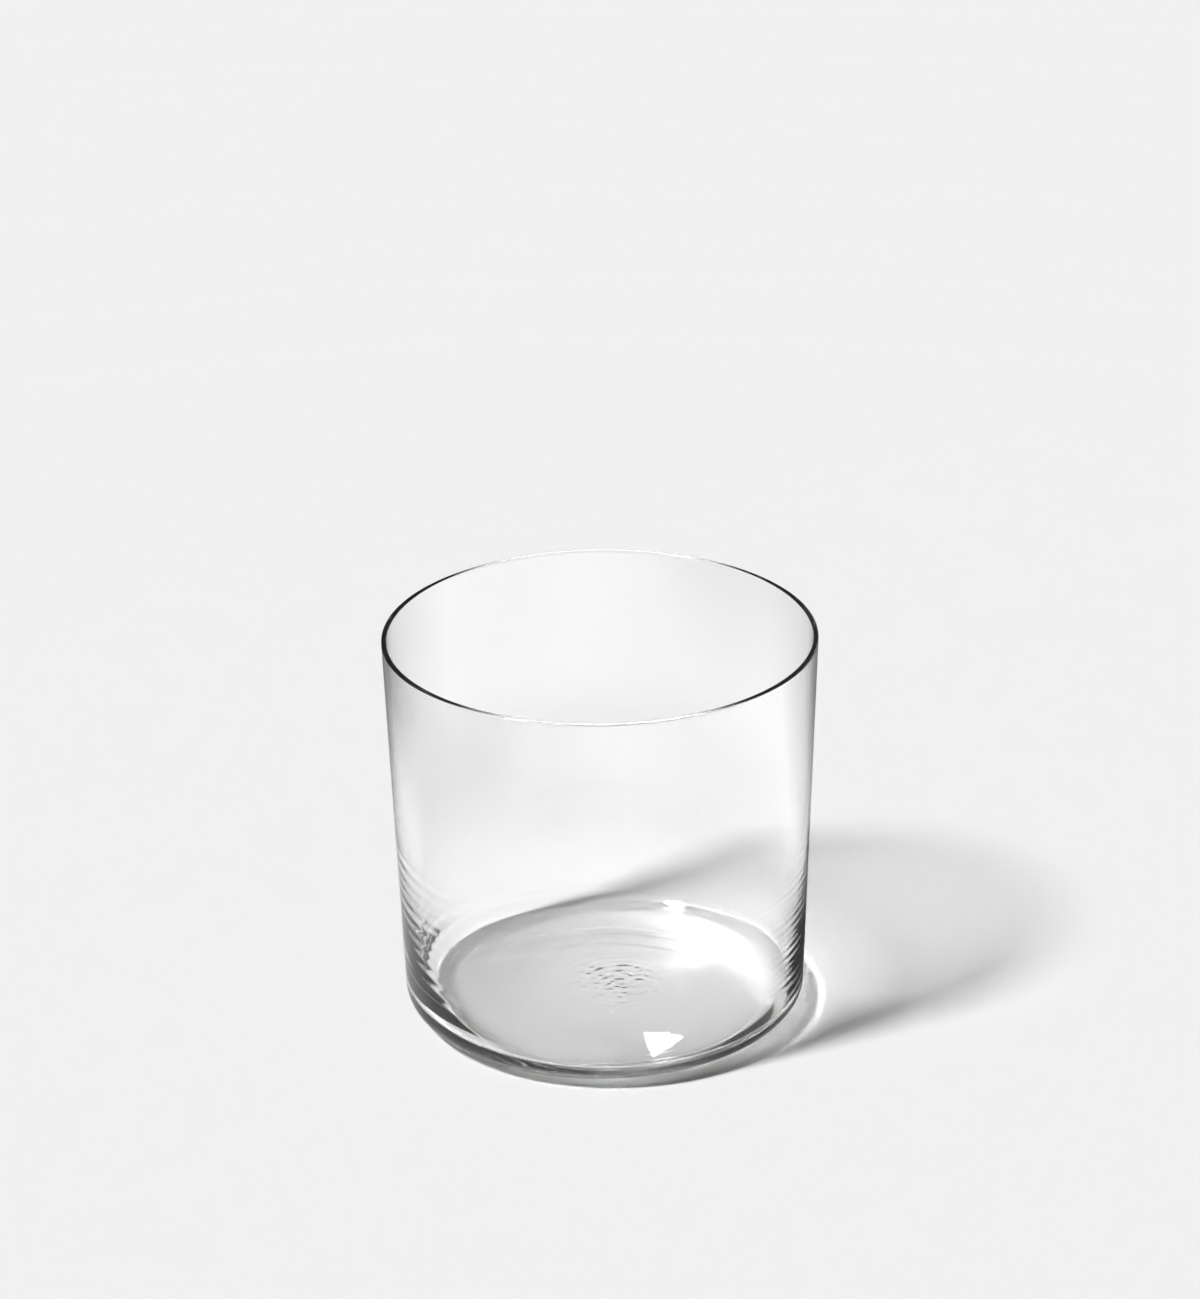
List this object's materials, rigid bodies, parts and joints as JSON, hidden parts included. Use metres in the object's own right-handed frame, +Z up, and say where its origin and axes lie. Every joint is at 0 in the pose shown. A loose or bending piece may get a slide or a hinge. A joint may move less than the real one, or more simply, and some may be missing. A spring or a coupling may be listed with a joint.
{
  "type": "cider glass",
  "caption": "Wide, slightly tapered drinking tumbler of thin clear glass, with a rounded heel, a thick floor and a plain fire-polished rim.",
  "frame": {"origin": "centre of the standing ring on the underside, level with the table", "axes": "+Z up along the axis of the outside wall, out of the mouth; +X towards the side where the inside has settled and the wall is thinnest; +Y away from the viewer of the picture"},
  "size_m": [0.09, 0.09, 0.0845],
  "materials": {
    "clear_glass": "clear, fire-polished, with faint ripples from blowing low on the wall"
  },
  "bodies": {
    "root": {"glass": "clear_glass"}
  },
  "joints": []
}
